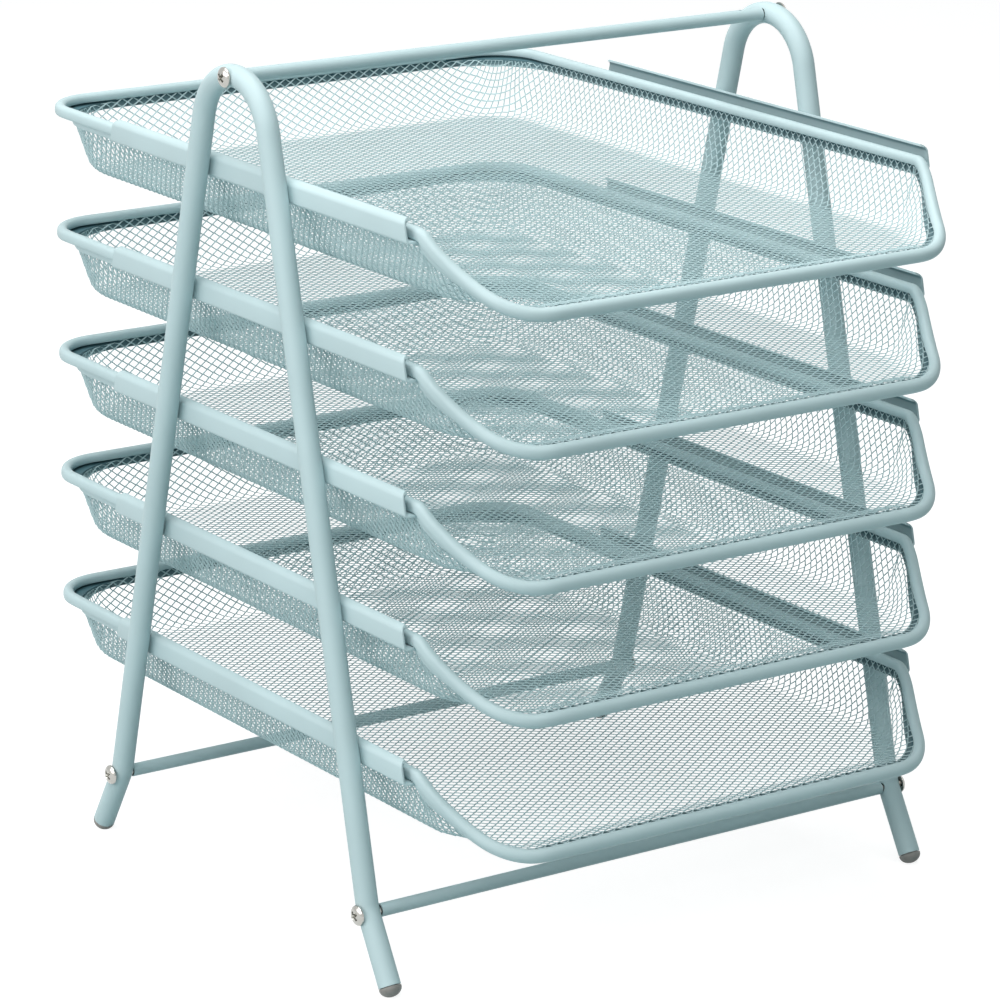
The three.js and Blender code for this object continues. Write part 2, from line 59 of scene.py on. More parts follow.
MM = 0.001
QUARTER = pi / 2
SIDES = {"left": -1, "right": 1}
TIERS = range(1, 6)
# Corners of a round section
ROUND = 40
# Points that are closer than this are one point
TOUCH = 0.001 * MM
# Cosine above which a face faces a given way
FACING = 0.99


def linear(hex_colour):
    """Turns an sRGB hex colour into linear red, green, blue and alpha."""
    parts = [int(hex_colour[i:i + 2], 16) / 255 for i in (1, 3, 5)]
    return (*[p / 12.92 if p <= 0.04045 else ((p + 0.055) / 1.055) ** 2.4 for p in parts], 1.0)


def mm(name, value, description):
    return FloatProperty(name=name, description=description, default=value * MM, unit="LENGTH",
                         precision=5)


def angle(name, degrees, description):
    return FloatProperty(name=name, description=description, default=radians(degrees), subtype="ANGLE")


def number(name, value, description):
    return FloatProperty(name=name, description=description, default=value)


def colour(name, hex_colour, description):
    return FloatVectorProperty(name=name, description=description, subtype="COLOR", size=4, min=0, max=1,
                               default=linear(hex_colour))


class OrganizerFrameSizes(PropertyGroup):
    """Sizes of the side frames, bars, screws, plugs and rails."""

    tube_radius: mm("Tube radius", 5, "Outer radius of the frame tube")
    tube_wall: mm("Tube wall", 1, "Wall thickness of the frame tube")
    frame_spacing: mm("Frame spacing", 288, "Between the middles of the side frames")
    arch_height: mm("Arch height", 378, "Height of the arch's centreline")
    arch_radius: mm("Arch radius", 26.8, "Centreline radius of the arch")
    leg_lean: angle("Leg lean", 13.5, "Lean of the legs from upright")
    knee_height: mm("Knee height", 34, "Where a leg turns out into its foot")
    knee_radius: mm("Knee radius", 20, "Centreline radius of the knee")
    foot_lean: angle("Foot lean", 30.4, "Lean of the feet from upright")
    sole_height: mm("Sole height", 4.4, "Height of a foot plug's dome")
    sole_wear: mm("Sole flat", 0.4, "Depth of the flat under the dome")
    stem_length: mm("Stem length", 10, "Length of the plug inside the tube")
    seat_gap: mm("Seat gap", 0.3, "Gap between touching pieces")
    bar_radius: mm("Bar radius", 3, "Outer radius of the cross bars")
    bar_wall: mm("Bar wall", 0.5, "Wall thickness of the cross bars")
    insert_radius: mm("Insert radius", 2.45, "Outer radius of the inserts")
    insert_length: mm("Insert length", 12, "Length of the inserts")
    bar_set_back: mm("Bar set back", 0.2, "How far an insert stands out of its bar")
    lower_bar_height: mm("Lower bar height", 32.5, "Height of the lower cross bars")
    vent_radius: mm("Vent radius", 0.9, "Radius of the top bar's vent hole")
    vent_inset: mm("Vent inset", 12, "From the bar's right end to the vent hole")
    screw_radius: mm("Screw radius", 2, "Radius of the screw shanks")
    screw_length: mm("Screw length", 20.5, "Length under the head")
    head_radius: mm("Head radius", 4.5, "Radius of the screw heads")
    head_height: mm("Head height", 2.4, "Height of the screw heads")
    rail_sheet: mm("Rail sheet", 1, "Thickness of the rails")
    rail_height: mm("Rail height", 10.6, "Height of the rails")
    rail_bend: mm("Rail bend", 1.5, "Outer radius between web and flange")
    rail_lip: mm("Rail lip", 3.2, "Radius of the rolled top edge")
    rail_front: mm("Rail front", -122, "Front end, from the middle of the legs")
    rail_back: mm("Rail back", 115.5, "Rear end, from the middle of the legs")
    rail_toe: mm("Rail toe", 1, "How far a rail's end stands out at its underside")
    rail_rake: mm("Rail rake", 2.6, "How far a rail's end leans back up to its top")
    arch_clearance: mm("Arch clearance", 49.8, "From the arch down to the top rails' underside")
    tier_pitch: mm("Tier pitch", 58, "From one rail down to the next")
    lowest_extra: mm("Lowest extra", 2, "How much further down the lowest rails are")


class OrganizerTraySizes(PropertyGroup):
    """Sizes of the tray rims and of their expanded mesh."""

    rim_width: mm("Rim width", 4.8, "Width of the bead at the sides")
    rim_height: mm("Rim height", 5.1, "Height of the bead at the sides")
    rim_crown: mm("Rim crown", 2.1, "Rounding of the bead's top edges")
    rim_edge: mm("Rim edge", 0.9, "Rounding of its lower outer edge")
    rim_turn: mm("Rim turn", 2.4, "Rounding of its lower inner edge")
    lip_crown: mm("Lip crown", 2.8, "Rounding of its front edges along the lip")
    rim_bow: angle("Rim bow", 12, "Lean of each face at its ends, as it bows out")
    groove_wall: mm("Groove wall", 0.4, "From the mesh's groove to the bead's inner face")
    groove_width: mm("Groove width", 1.75, "Width of the mesh's groove")
    groove_depth: mm("Groove depth", 1.6, "Depth of the mesh's groove")
    mesh_inset: mm("Mesh inset", 1, "From the bead's inner face to the mesh")
    rim_play: mm("Rim play", 3.3, "From the bead to the rail's web")
    lip_height: mm("Lip height", 6.2, "Height of the bead along the lip")
    hem_length: mm("Hem length", 2.9, "Depth of the hem that holds the mesh")
    hem_sheet: mm("Hem sheet", 0.6, "Thickness of the hem")
    hem_clinch: mm("Hem clinch", 0.8, "Depth of its tip, turned in onto the mesh")
    tray_back: mm("Tray back", 193, "Rear face, from the middle of the legs")
    lip_front: mm("Lip front", -170.9, "Front face, from the middle of the legs")
    back_corner: mm("Back corner", 26, "Outer radius of the rear corners")
    pan_corner: mm("Mesh corner", 38, "Radius of the mesh at the rear corners")
    mouth_set_off: mm("Mouth set off", 5.3, "From the rail ends to where the sides turn in")
    mouth_turn: angle("Mouth turn", 27, "How far the sides turn in")
    mouth_radius: mm("Mouth radius", 27, "Radius of that turn")
    lip_corner: mm("Lip corner", 29, "Centreline radius of the front corners")
    lip_drop: mm("Lip drop", 28.65, "From the side rims down to the lip")
    drop_ease: mm("Drop ease", 2.2, "Half length of the bend where the drop begins")
    drop_run: mm("Drop run", 56, "Plan length of the drop")
    pan_sheet: mm("Mesh thickness", 0.8, "Overall thickness of the mesh")
    pan_depth: mm("Tray depth", 25, "From the rail's underside to the tray's")
    wall_lean: angle("Wall lean", 20, "Lean of the mesh walls from upright")
    lip_slope: angle("Lip slope", 12, "Slope of the floor up to the lip")
    floor_round: mm("Floor round", 10, "Rounding between floor and walls")
    long_way: mm("Long way", 6, "Length of a diamond")
    short_way: mm("Short way", 4.1, "Width of a diamond")
    strand: mm("Strand", 0.42, "Width of the strands")
    strand_sheet: mm("Strand sheet", 0.36, "Thickness of the strands")
    strand_tilt: mm("Strand tilt", 0.3, "How far the strands' edges tilt where they meet")


class OrganizerFinishes(PropertyGroup):
    """Colours of the finishes."""

    powder: colour("Powder coat", "#bcd3d6", "Powder coat on tubes, bars, rails and rims")
    mesh: colour("Mesh coat", "#b8d1d4", "Powder coat on the expanded mesh")
    screw: colour("Screw plate", "#b5b5b0", "Bright plating of the screws")
    insert: colour("Insert plate", "#5b6163", "Zinc plating of the inserts")
    plug: colour("Plug plastic", "#8c8b87", "Moulded plastic of the foot plugs")


class OrganizerStage(PropertyGroup):
    """Camera."""

    eye: FloatVectorProperty(name="Eye", description="Where the camera stands", subtype="TRANSLATION",
                             default=(-1.11634, -1.59301, 0.74065))
    yaw: angle("Yaw", 35.0858, "Turn of the camera from +Y towards +X")
    pitch: angle("Pitch", 16.5029, "Downward tilt of the camera")
    roll: angle("Roll", 0.6666, "Roll of the camera")
    focal: number("Focal length", 4.43394, "In image widths")
    centre_x: number("Centre across", 0.49876, "Optical centre from the left, in image widths")
    centre_y: number("Centre down", 0.50087, "Optical centre from the top, in image heights")


def frame_sizes():
    return bpy.context.scene.organizer_frame


def tray_sizes():
    return bpy.context.scene.organizer_tray


def finishes():
    return bpy.context.scene.organizer_finishes


# Layout: places that follow from the sizes
def centre_shift():
    """The legs' middle is this far in front of the middle of the whole box."""
    return (tray_sizes().tray_back + tray_sizes().lip_front) / 2


def tier_height(tier):
    f = frame_sizes()
    extra = f.lowest_extra if tier == TIERS[-1] else 0
    return f.arch_height - f.arch_clearance - (tier - 1) * f.tier_pitch - extra


def web_place():
    """Where the rails' webs and the inserts' ends are, just inside the tubes."""
    f = frame_sizes()
    return f.frame_spacing / 2 - f.tube_radius - f.seat_gap


def rim_place():
    f, t = frame_sizes(), tray_sizes()
    return web_place() - f.rail_sheet - t.rim_play - t.rim_width / 2


def arc(centre, radius, start, end, steps):
    """Points of an arc in a plane, with both ends: across, up and angle."""
    angles = [start + (end - start) * i / steps for i in range(steps + 1)]
    return [(centre[0] + radius * cos(a), centre[1] + radius * sin(a), a) for a in angles]


def frame_line():
    """A side frame's centreline from front to rear: y, z and the angle of its outer side."""
    f = frame_sizes()
    lean = f.leg_lean
    arch_centre = f.arch_height - f.arch_radius
    shoulder = (f.arch_radius * cos(lean), arch_centre + f.arch_radius * sin(lean))
    knee_y = shoulder[0] + (shoulder[1] - f.knee_height) * tan(lean)
    tangent = f.knee_radius * tan((f.foot_lean - lean) / 2)
    bend = (knee_y - tangent * sin(lean) + f.knee_radius * cos(lean),
            f.knee_height + tangent * cos(lean) + f.knee_radius * sin(lean))
    turn = arc(bend, f.knee_radius, pi + lean, pi + f.foot_lean, 10)
    knee = [(y, z, a - pi) for y, z, a in turn]
    drop = hypot(f.sole_height * cos(f.foot_lean), f.tube_radius * sin(f.foot_lean))
    end_z = drop - f.sole_wear + f.seat_gap * cos(f.foot_lean)
    foot = (knee_y + (f.knee_height - end_z) * tan(f.foot_lean), end_z, f.foot_lean)
    # One more ring above the knee keeps the long leg smooth
    above = 9 * MM
    above_knee = (knee[0][0] - above * sin(lean), knee[0][1] + above * cos(lean), lean)
    rear = [above_knee, *knee, foot]
    front = [(-y, z, pi - a) for y, z, a in reversed(rear)]
    arch = arc((0, arch_centre), f.arch_radius, pi - lean, lean, 44)
    return [*front, *arch, *rear]


def leg_reach(height):
    """Distance of a leg's centreline from the middle at a height below the arch."""
    line = frame_line()
    rear = line[len(line) // 2:]
    for high, low in zip(rear, rear[1:]):
        if low[1] <= height <= high[1]:
            share = (height - low[1]) / (high[1] - low[1])
            return low[0] + (high[0] - low[0]) * share
    raise ValueError("no leg at that height")


def bar_places():
    """Where the cross bars run: y and z."""
    f = frame_sizes()
    low, shift = f.lower_bar_height, centre_shift()
    reach = leg_reach(low)
    return {"top": (-shift, f.arch_height), "front": (-reach - shift, low), "rear": (reach - shift, low)}


# Modelling helpers
def start_clean():
    """Leaves edit mode and deselects everything."""
    if bpy.context.mode != "OBJECT":
        bpy.ops.object.mode_set(mode="OBJECT")
    bpy.ops.object.select_all(action="DESELECT")


def activate(obj):
    start_clean()
    obj.select_set(True)
    bpy.context.view_layer.objects.active = obj


def edit(obj):
    activate(obj)
    bpy.ops.object.mode_set(mode="EDIT")
    return bmesh.from_edit_mesh(obj.data)


def pick(obj, kind, test):
    """Selects, in edit mode, the faces or verts that pass the test."""
    mesh = bmesh.from_edit_mesh(obj.data)
    bpy.ops.mesh.select_all(action="DESELECT")
    bpy.ops.mesh.select_mode(type=kind[:4].upper())
    for item in getattr(mesh, kind):
        item.select = test(item)
    mesh.select_flush_mode()
    bmesh.update_edit_mesh(obj.data)


def apply_place(obj):
    """Moves the object's place into its mesh, so that the object sits at the origin."""
    activate(obj)
    bpy.ops.object.transform_apply(location=True, rotation=True, scale=True)


def apply_modifiers(obj):
    activate(obj)
    for name in [m.name for m in obj.modifiers]:
        bpy.ops.object.modifier_apply(modifier=name)


def smooth(obj, degrees=32):
    activate(obj)
    bpy.ops.object.shade_smooth_by_angle(angle=radians(degrees))


def sweep(name, rings, closed=False, recess=None):
    """Extrudes a section from ring to ring. A closed sweep meets itself, an open one has capped ends.

    In recess, points of the section have a share of painted shade, by which the coat is darkened there
    as if in shade.
    """
    start_clean()
    fill = "NOTHING" if closed else "NGON"
    bpy.ops.mesh.primitive_circle_add(vertices=len(rings[0]), radius=1, fill_type=fill)
    obj = bpy.context.object
    obj.name = obj.data.name = name
    mesh = edit(obj)
    bpy.ops.mesh.select_mode(type="VERT")
    place = mesh.verts.layers.int.new("place")
    for i, vert in enumerate(mesh.verts):
        vert[place] = i
        vert.co = rings[0][i]
    bpy.ops.mesh.select_all(action="SELECT")
    for ring in [*rings[1:], *rings[:1]] if closed else rings[1:]:
        bpy.ops.mesh.extrude_region()
        mesh = bmesh.from_edit_mesh(obj.data)
        place = mesh.verts.layers.int["place"]
        for vert in mesh.verts:
            if vert.select:
                vert.co = ring[vert[place]]
    bmesh.update_edit_mesh(obj.data)
    bpy.ops.mesh.select_all(action="SELECT")
    if closed:
        bpy.ops.mesh.remove_doubles(threshold=TOUCH)
    bpy.ops.mesh.normals_make_consistent(inside=False)
    start_clean()
    attributes = obj.data.attributes
    # Painted shade: the shares go into a point attribute that darkens the coat
    if recess:
        shares = [recess.get(item.value, 0.0) for item in attributes["place"].data]
        attributes.new("thin_film", "FLOAT", "POINT").data.foreach_set("value", shares)
    attributes.remove(attributes["place"])
    return obj


def turned(name, outline, matrix):
    """A turned piece, from an outline of radii and heights on its axis, set in place by the matrix."""
    angles = [2 * pi * (i + 0.5) / ROUND for i in range(ROUND)]
    return sweep(name, [[matrix @ Vector((radius * cos(a), radius * sin(a), along)) for a in angles]
                        for radius, along in outline])


def dome(radius, edge, height):
    """Radii and heights of a dome above its edge, nearly to its top."""
    steps = 12
    angles = [QUARTER * i / steps for i in range(1, steps)]
    return [(radius * cos(a), edge + height * sin(a)) for a in angles]


def rod(name, sides, radius, depth, spot, upright=False):
    """A cylinder that lies across the organizer or stands upright."""
    start_clean()
    bpy.ops.mesh.primitive_cylinder_add(vertices=sides, radius=radius, depth=depth, location=spot,
                                        rotation=(0, 0 if upright else QUARTER, 0))
    obj = bpy.context.object
    obj.name = obj.data.name = name
    return obj


def bevel_sharp(obj, width, segments, limit):
    """Breaks the edges of a piece that turn more than the limit."""
    modifier = obj.modifiers.new("broken edges", "BEVEL")
    modifier.width = width
    modifier.segments = segments
    modifier.limit_method = "ANGLE"
    modifier.angle_limit = radians(limit)
    apply_modifiers(obj)


def cut_away(obj, cutter):
    """Cuts the cutter's shape out of a piece and removes the cutter."""
    modifier = obj.modifiers.new("cut", "BOOLEAN")
    modifier.object = cutter
    modifier.operation = "DIFFERENCE"
    modifier.solver = "EXACT"
    apply_modifiers(obj)
    bpy.data.objects.remove(cutter)


def copy_piece(obj, name, matrix):
    """A copy with its own mesh, moved or mirrored by the matrix."""
    twin = obj.copy()
    twin.data = obj.data.copy()
    twin.name = twin.data.name = name
    bpy.context.scene.collection.objects.link(twin)
    twin.data.transform(matrix)
    if matrix.determinant() < 0:
        twin.data.flip_normals()
    return twin


def settle(obj, body, material, node):
    """Gives a finished piece its material and its body, and hides the solid it stands for."""
    start_clean()
    obj.data.materials.clear()
    obj.data.materials.append(material)
    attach(obj, body)
    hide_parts(node)


def fill_trays(obj, name, material, node):
    """Copies a piece, made for rails at height zero, into every tray."""
    for tier in TIERS:
        place = Matrix.Translation((0, -centre_shift(), tier_height(tier)))
        piece = copy_piece(obj, f"{name}_{tier}", place)
        settle(piece, f"tray_{tier}", material, f"{node}_{tier}")
    bpy.data.objects.remove(obj)


# Materials
def add_node(material, kind, settings=None, links=None):
    """Adds a shader node with its settings and links. Inputs go by name or number.

    A link is an output, or a node for its first output. The stops of a colour ramp are a setting
    too: the position and colour of each.
    """
    tree = material.node_tree
    node = tree.nodes.new("ShaderNode" + kind)
    for name, value in (settings or {}).items():
        if name == "stops":
            for stop, (position, paint) in zip(node.color_ramp.elements, value):
                stop.position, stop.color = position, paint
        elif isinstance(name, int) or name in node.inputs:
            node.inputs[name].default_value = value
        else:
            setattr(node, name, value)
    for name, source in (links or {}).items():
        output = source.outputs[0] if isinstance(source, bpy.types.Node) else source
        tree.links.new(output, node.inputs[name])
    return node


def new_material(name):
    material = bpy.data.materials.new(name)
    material.use_nodes = True
    material.node_tree.nodes.clear()
    return material


def finish_in(kind, name, *settings):
    """The named material, made by its kind's function where it is first needed.

    That function gets one that adds a node, the place on the object, and the settings.
    """
    material = bpy.data.materials.get(name)
    if not material:
        material = new_material(name)
        add = partial(add_node, material)
        place = add("TexCoord").outputs["Object"]
        add("OutputMaterial", links={"Surface": kind(add, place, *settings)})
    return material


def shade(base, *shares):
    """The base colour times one share, or times shares of its red, green and blue."""
    return [min(c * share, 1) for c, share in zip(base[:3], shares * 3)] + [1]


def powder_coat(add, place, base):
    """Polyester powder coat baked on steel: even colour, soft gloss and a fine orange-peel skin, with
    painted shade darkening it in recesses.
    """
    # Film thickness drifts over some 60 mm and shifts the tone slightly
    drift = add("TexNoise", {"Scale": 1 / (60 * MM), "Detail": 2}, {"Vector": place})
    stops = (0.3, shade(base, 0.95)), (0.7, shade(base, 1.03))
    tone = add("ValToRGB", {"stops": stops}, {"Fac": drift})
    # Painted shade: in recesses the colour is mixed towards a dark teal by each point's share of painted
    # shade, standing in for the shade that falls there
    painted_shade_share = add("Attribute", {"attribute_name": "thin_film"}).outputs["Fac"]
    # Inputs 0, 6 and 7 of a mix of colours are its share and the two colours
    painted_shade_colour = shade(base, 0.12, 0.22, 0.25)
    coat = add("Mix", {"data_type": "RGBA", 7: painted_shade_colour}, {0: painted_shade_share, 6: tone})
    # Orange peel: waves about 1.1 mm long and 6 thousandths of a millimetre high
    peel = add("TexNoise", {"Scale": 1 / (1.1 * MM), "Detail": 1}, {"Vector": place})
    skin = add("Bump", {"Strength": 0.5, "Distance": 0.012 * MM}, {"Height": peel})
    gloss = add("MapRange", {"To Min": 0.42, "To Max": 0.52}, {"Value": drift})
    return add("BsdfPrincipled", {"IOR": 1.5, "Specular IOR Level": 0.25},
               {"Base Color": coat.outputs[2], "Roughness": gloss, "Normal": skin})


def plated_steel(add, place, base, low, high, rub):
    """Zinc or nickel plate on turned steel: metallic, with fine rubbed marks in its gloss."""
    marks = add("TexNoise", {"Scale": 1 / (rub * MM), "Detail": 4}, {"Vector": place})
    gloss = add("MapRange", {"To Min": low, "To Max": high}, {"Value": marks})
    skin = add("Bump", {"Strength": 0.3, "Distance": 0.01 * MM}, {"Height": marks})
    return add("BsdfPrincipled", {"Base Color": base, "Metallic": 1},
               {"Roughness": gloss, "Normal": skin})


def moulded_plastic(add, place, base):
    """Injection-moulded polyethylene: waxy, with a fine spark-eroded grain and a faint scuff tone."""
    scuff = add("TexNoise", {"Scale": 1 / (3 * MM), "Detail": 5}, {"Vector": place})
    stops = (0.35, shade(base, 0.9)), (0.7, shade(base, 1.06))
    tone = add("ValToRGB", {"stops": stops}, {"Fac": scuff})
    grain = add("TexNoise", {"Scale": 1 / (0.35 * MM), "Detail": 2}, {"Vector": place})
    skin = add("Bump", {"Strength": 0.5, "Distance": 0.02 * MM}, {"Height": grain})
    return add("BsdfPrincipled", {"Roughness": 0.55, "IOR": 1.5}, {"Base Color": tone, "Normal": skin})


def powder():
    return finish_in(powder_coat, "powder-coated steel", finishes().powder)


class ORGANIZER_OT_side_frames(Operator):
    """Bend two tubes into arched side frames, with bored ends and holes for the bar screws"""

    bl_idname = "organizer.side_frames"
    bl_label = "Side Frames"

    def execute(self, context):
        f = frame_sizes()
        bore_slack, hole_slack = 2 * MM, 0.5 * MM
        turns = [2 * pi * i / ROUND for i in range(ROUND)]
        rings = []
        for y, z, lean in frame_line():
            across = Vector((0, cos(lean), sin(lean)))
            centre = Vector((0, y - centre_shift(), z))
            rings.append([centre + f.tube_radius * (cos(t) * across + sin(t) * Vector((1, 0, 0)))
                          for t in turns])
        tube = sweep("side_frame", rings)
        # Bore each end: an inset leaves the wall standing, and the face inside it is pushed in
        edit(tube)
        axis = Vector((0, sin(f.foot_lean), -cos(f.foot_lean)))
        for end in (1, -1):
            outward = Vector((0, end * axis.y, axis.z))
            pick(tube, "faces",
                 lambda face: len(face.verts) == ROUND and face.normal.dot(outward) > FACING)
            bpy.ops.mesh.inset(thickness=f.tube_wall)
            inward = -(f.stem_length + bore_slack) * outward
            bpy.ops.mesh.extrude_region_move(TRANSFORM_OT_translate={"value": inward})
        for y, z in bar_places().values():
            hole = rod("screw_hole", 24, f.screw_radius + hole_slack, 4 * f.tube_radius, (0, y, z))
            cut_away(tube, hole)
        smooth(tube)
        for name, sign in SIDES.items():
            place = Matrix.Translation((sign * f.frame_spacing / 2, 0, 0))
            settle(copy_piece(tube, f"side_tube_{name}", place), "stand", powder(),
                   f"side_frame_{name}")
        bpy.data.objects.remove(tube)
        return {"FINISHED"}


class ORGANIZER_OT_foot_plugs(Operator):
    """Turn the domed foot plugs, push them into the tube ends and flatten them at the floor"""

    bl_idname = "organizer.foot_plugs"
    bl_label = "Foot Plugs"

    def execute(self, context):
        f = frame_sizes()
        foot_y, foot_z, lean = frame_line()[-1]
        taper, chamfer, rim = 0.5 * MM, 0.25 * MM, 0.4 * MM
        bore = f.tube_radius - f.tube_wall - f.seat_gap
        outline = [(bore - taper, -f.stem_length), (bore, -f.stem_length / 2), (bore, f.seat_gap),
                   (f.tube_radius - chamfer, f.seat_gap), (f.tube_radius, f.seat_gap + chamfer),
                   *dome(f.tube_radius, f.seat_gap + rim, f.sole_height - rim)]
        plastic = finish_in(moulded_plastic, "moulded polyethylene", finishes().plug)
        for name, sign in SIDES.items():
            for end, way in {"rear": 1, "front": -1}.items():
                turn = Matrix.Rotation(-way * (pi - lean), 4, "X")
                spot = (sign * f.frame_spacing / 2, way * foot_y - centre_shift(), foot_z)
                plug = turned(f"plug_{end}_{name}", outline, Matrix.Translation(spot) @ turn)
                edit(plug)
                bpy.ops.mesh.select_all(action="SELECT")
                bpy.ops.mesh.bisect(plane_co=(0, 0, 0), plane_no=(0, 0, -1), use_fill=True,
                                    clear_outer=True, threshold=TOUCH)
                smooth(plug)
                settle(plug, "stand", plastic, f"foot_plug_{end}_{name}")
        return {"FINISHED"}


class ORGANIZER_OT_cross_bars(Operator):
    """Cut the three cross bars to length, bore their ends and drill the vent hole"""

    bl_idname = "organizer.cross_bars"
    bl_label = "Cross Bars"

    def execute(self, context):
        f = frame_sizes()
        half = web_place() - f.bar_set_back
        chamfer, chamfer_depth, bore_slack = 0.25 * MM, 0.2 * MM, 1 * MM
        names = {"top": "top_bar", "front": "front_lower_bar", "rear": "rear_lower_bar"}
        for place, (y, z) in bar_places().items():
            bar = rod(f"{place}_tie_bar", 36, f.bar_radius, 2 * half, (0, y, z))
            apply_place(bar)
            edit(bar)
            for end in (1, -1):
                pick(bar, "faces", lambda face: face.normal.x * end > FACING)
                bpy.ops.mesh.inset(thickness=chamfer)
                bpy.ops.transform.translate(value=(end * chamfer_depth, 0, 0))
                bpy.ops.mesh.inset(thickness=f.bar_wall - chamfer)
                deep = -end * (f.insert_length + bore_slack)
                bpy.ops.mesh.extrude_region_move(TRANSFORM_OT_translate={"value": (deep, 0, 0)})
            # The chamfers moved the end faces out, so the ends go back to the bar's length
            for end in (1, -1):
                pick(bar, "verts", lambda vert: vert.co.x * end > half - 10 * TOUCH)
                bpy.ops.transform.translate(value=(-end * chamfer_depth, 0, 0))
            if place == "top":
                hole = (half - f.vent_inset, y, z + f.bar_radius)
                cut_away(bar, rod("vent_hole", 20, f.vent_radius, f.bar_radius, hole, upright=True))
            smooth(bar)
            settle(bar, "stand", powder(), names[place])
        return {"FINISHED"}


class ORGANIZER_OT_inserts(Operator):
    """Make the threaded inserts that stand a little out of the bar ends"""

    bl_idname = "organizer.inserts"
    bl_label = "Threaded Inserts"

    def execute(self, context):
        f = frame_sizes()
        thread_gap, chamfer = 0.1 * MM, 0.08 * MM
        plate = finish_in(plated_steel, "zinc-plated steel", finishes().insert, 0.35, 0.5, 0.8)
        for place, (y, z) in bar_places().items():
            for name, sign in SIDES.items():
                spot = (sign * (web_place() - f.insert_length / 2), y, z)
                sleeve = rod(f"sleeve_{place}_{name}", 28, f.insert_radius, f.insert_length, spot)
                apply_place(sleeve)
                edit(sleeve)
                pick(sleeve, "faces", lambda face: abs(face.normal.x) > FACING)
                bpy.ops.mesh.inset(thickness=f.insert_radius - f.screw_radius - thread_gap)
                bpy.ops.mesh.bridge_edge_loops()
                start_clean()
                bevel_sharp(sleeve, chamfer, 1, 50)
                smooth(sleeve)
                settle(sleeve, "stand", plate, f"insert_{place}_{name}")
        return {"FINISHED"}


class ORGANIZER_OT_screws(Operator):
    """Turn the low-domed screws and press the cross recess into their heads"""

    bl_idname = "organizer.screws"
    bl_label = "Screws"

    def execute(self, context):
        f = frame_sizes()
        plate = finish_in(plated_steel, "nickel-plated steel", finishes().screw, 0.16, 0.26, 1.5)
        tip, edge, under, chamfer = 0.6 * MM, 0.45 * MM, 0.15 * MM, 0.12 * MM
        outline = [(f.screw_radius - tip, -f.screw_length), (f.screw_radius, tip - f.screw_length),
                   (f.screw_radius, 0), (f.head_radius - under, 0), (f.head_radius, chamfer),
                   (f.head_radius, edge), *dome(f.head_radius, edge, f.head_height - edge)]
        screw = turned("screw", outline, Matrix.Identity(4))
        # The recess is two crossed wedges, shorter and narrower at the bottom than at the mouth
        mouth, bottom = (6.4 * MM, 1.9 * MM, 3.8 * MM), (0.42, 0.6, 1)
        for turn in (QUARTER / 2, -QUARTER / 2):
            start_clean()
            bpy.ops.mesh.primitive_cube_add(size=1, location=(0, 0, f.head_height),
                                            rotation=(0, 0, turn), scale=mouth)
            wedge = bpy.context.object
            edit(wedge)
            pick(wedge, "faces", lambda face: face.normal.z < -FACING)
            bpy.ops.transform.resize(value=bottom)
            cut_away(screw, wedge)
        smooth(screw, 28)
        for place, (y, z) in bar_places().items():
            for name, sign in SIDES.items():
                head = sign * (f.frame_spacing / 2 + f.tube_radius + f.seat_gap)
                turn = Matrix.Rotation(sign * QUARTER, 4, "Y")
                spot = Matrix.Translation((head, y, z))
                piece = copy_piece(screw, f"fastener_{place}_{name}", spot @ turn)
                settle(piece, "stand", plate, f"screw_{place}_{name}")
        bpy.data.objects.remove(screw)
        return {"FINISHED"}


class ORGANIZER_OT_rails(Operator):
    """Fold the channel rails, with a flange to carry the tray and a rolled top edge"""

    bl_idname = "organizer.rails"
    bl_label = "Rails"

    def section(self):
        """Outline of the right rail's sheet across and up, with the web's outer face at zero."""
        f, t = frame_sizes(), tray_sizes()
        # The flange ends a little short of the hem
        hem, play = t.groove_wall + t.groove_width + t.hem_sheet, 0.5 * MM
        flange = f.rail_sheet + t.rim_play + t.rim_width - hem - play
        roll = (-f.rail_lip, f.rail_height - f.rail_lip)
        bend = (-f.rail_bend, f.rail_bend)
        points = arc(bend, f.rail_bend, -QUARTER, 0, 6) + arc(roll, f.rail_lip, 0, QUARTER, 10)
        points += arc(roll, f.rail_lip - f.rail_sheet, QUARTER, 0, 10)
        points += arc(bend, f.rail_bend - f.rail_sheet, 0, -QUARTER, 6)
        return [(-flange, 0), *[p[:2] for p in points], (-flange, f.rail_sheet)]

    def set_back(self, height):
        """How far a raked end stands back at a height, with its top corner rounded off."""
        f = frame_sizes()
        corner, rounding = max(0, height - f.rail_height + f.rail_lip) / f.rail_lip, 1.5 * MM
        return f.rail_rake * height / f.rail_height - f.rail_toe + rounding * corner ** 3

    def execute(self, context):
        f = frame_sizes()
        section, shift = self.section(), centre_shift()
        rings = [[Vector((x, end + way * self.set_back(z) - shift, z)) for x, z in section]
                 for end, way in ((f.rail_front, 1), (f.rail_back, -1))]
        # Painted shade inside the channel, from the roll down to the flange, darkest under the roll,
        # where the roll shades the web
        shares = [*[0.0] * 4, *[0.75] * 4, 0.65, 0.5, 0.4, *[0.1] * 7]
        channel = sweep("rail", rings, recess=dict(enumerate(shares, len(section) // 2)))
        bevel_sharp(channel, 0.12 * MM, 2, 60)
        smooth(channel)
        for tier in TIERS:
            for name, sign in SIDES.items():
                place = Matrix.Translation((sign * web_place(), 0, tier_height(tier)))
                place @= Matrix.Diagonal((sign, 1, 1, 1))
                piece = copy_piece(channel, f"channel_{name}_{tier}", place)
                settle(piece, "stand", powder(), f"rail_{name}_{tier}")
        bpy.data.objects.remove(channel)
        return {"FINISHED"}


def mix(a, b, share):
    return a + (b - a) * share


def smoothstep(share):
    share = min(max(share, 0), 1)
    return share * share * (3 - 2 * share)


